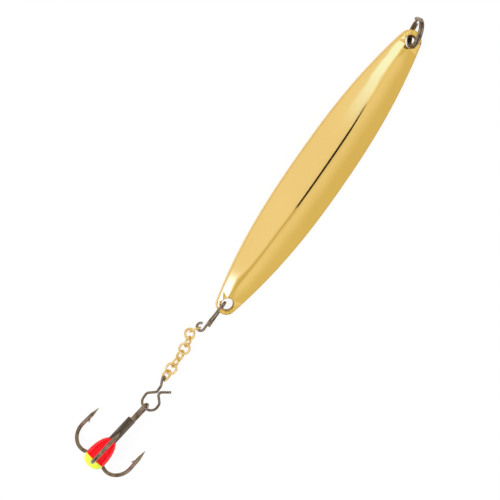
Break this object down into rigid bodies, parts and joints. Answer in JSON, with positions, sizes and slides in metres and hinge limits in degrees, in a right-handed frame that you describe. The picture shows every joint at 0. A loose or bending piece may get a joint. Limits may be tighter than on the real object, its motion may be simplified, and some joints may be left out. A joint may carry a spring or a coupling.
{
  "type": "jigging spoon",
  "caption": "Ridged spindle jigging spoon with a split ring, a short chain, a wire snap and a barbed treble hook set in a teardrop bead.",
  "frame": {"origin": "on the flat right back facet that the body lies on, midway between the centres of the body's two holes", "axes": "+X along the body from the chain towards the line ring, +Z square to that back facet and out through the ridge, +Y to the left of the body seen from above"},
  "size_m": [0.1126, 0.0162, 0.0124],
  "materials": {
    "gold_plate": "polished",
    "chain_gold": "polished",
    "gunmetal": "satin",
    "bronze_hook": "satin",
    "braze": "satin",
    "epoxy_red": "gloss",
    "epoxy_yellow": "gloss"
  },
  "bodies": {
    "lure_body": {"lure_body": "gold_plate"},
    "split_ring": {"split_ring": "gunmetal"},
    "wire_link": {"upper_wire_link": "gunmetal"},
    "hook_snap": {"hook_snap": "gunmetal"},
    "treble_hook": {"treble_double_wire": "bronze_hook", "treble_third_hook": "bronze_hook", "braze_sleeve": "braze", "drop_red": "epoxy_red", "drop_yellow": "epoxy_yellow"},
    "chain_link_1": {"chain_link_1": "chain_gold"},
    "chain_link_2": {"chain_link_2": "chain_gold"},
    "chain_link_3": {"chain_link_3": "chain_gold"},
    "chain_link_4": {"chain_link_4": "chain_gold"},
    "chain_link_5": {"chain_link_5": "chain_gold"},
    "chain_link_6": {"chain_link_6": "chain_gold"},
    "chain_link_7": {"chain_link_7": "chain_gold"},
    "chain_link_8": {"chain_link_8": "chain_gold"}
  },
  "joints": [
    {"name": "split_ring_swing", "type": "hinge", "parent": "lure_body", "child": "split_ring", "pos_m": [0.0339, 0.00049, 0.00186], "axis": [0.2995, -0.9055, -0.3007], "range_deg": [-120, 0]},
    {"name": "wire_link_swing", "type": "hinge", "parent": "lure_body", "child": "wire_link", "pos_m": [-0.03395, 0.0006, 0.00185], "axis": [0, 1, 0], "range_deg": [-90, 90]},
    {"name": "chain_link_1_swing", "type": "hinge", "parent": "wire_link", "child": "chain_link_1", "pos_m": [-0.04, 0.00211, 0.00128], "axis": [-0.4848, -0.8746, 0], "range_deg": [-75, 75]},
    {"name": "chain_link_2_swing", "type": "hinge", "parent": "chain_link_1", "child": "chain_link_2", "pos_m": [-0.04132, 0.003, 0.00134], "axis": [-0.0289, 0.0195, -0.9994], "range_deg": [-45, 75]},
    {"name": "chain_link_3_swing", "type": "hinge", "parent": "chain_link_2", "child": "chain_link_3", "pos_m": [-0.04274, 0.00221, 0.00125], "axis": [0.42, -0.8034, 0.422], "range_deg": [-75, 75]},
    {"name": "chain_link_4_swing", "type": "hinge", "parent": "chain_link_3", "child": "chain_link_4", "pos_m": [-0.04433, 0.00193, 0.00136], "axis": [-0.0014, 0.3801, 0.9249], "range_deg": [-75, 75]},
    {"name": "chain_link_5_swing", "type": "hinge", "parent": "chain_link_4", "child": "chain_link_5", "pos_m": [-0.04595, 0.00188, 0.00136], "axis": [-0.0349, 0.9988, 0.0349], "range_deg": [-75, 75]},
    {"name": "chain_link_6_swing", "type": "hinge", "parent": "chain_link_5", "child": "chain_link_6", "pos_m": [-0.04756, 0.00177, 0.00134], "axis": [0.0222, -0.5297, 0.8479], "range_deg": [-75, 75]},
    {"name": "chain_link_7_swing", "type": "hinge", "parent": "chain_link_6", "child": "chain_link_7", "pos_m": [-0.04918, 0.00177, 0.00131], "axis": [0.0158, -0.4226, -0.9062], "range_deg": [-75, 75]},
    {"name": "chain_link_8_swing", "type": "hinge", "parent": "chain_link_7", "child": "chain_link_8", "pos_m": [-0.0508, 0.00185, 0.00131], "axis": [0.0521, 0.9948, 0.0872], "range_deg": [-75, 75]},
    {"name": "snap_swing", "type": "hinge", "parent": "chain_link_8", "child": "hook_snap", "pos_m": [-0.05242, 0.00185, 0.00131], "axis": [0, 0.6157, -0.788], "range_deg": [-60, 60]},
    {"name": "hook_swing", "type": "hinge", "parent": "hook_snap", "child": "treble_hook", "pos_m": [-0.05904, 0.00173, 0.0038], "axis": [-0.1625, -0.9848, 0.0613], "range_deg": [-100, 100]}
  ]
}
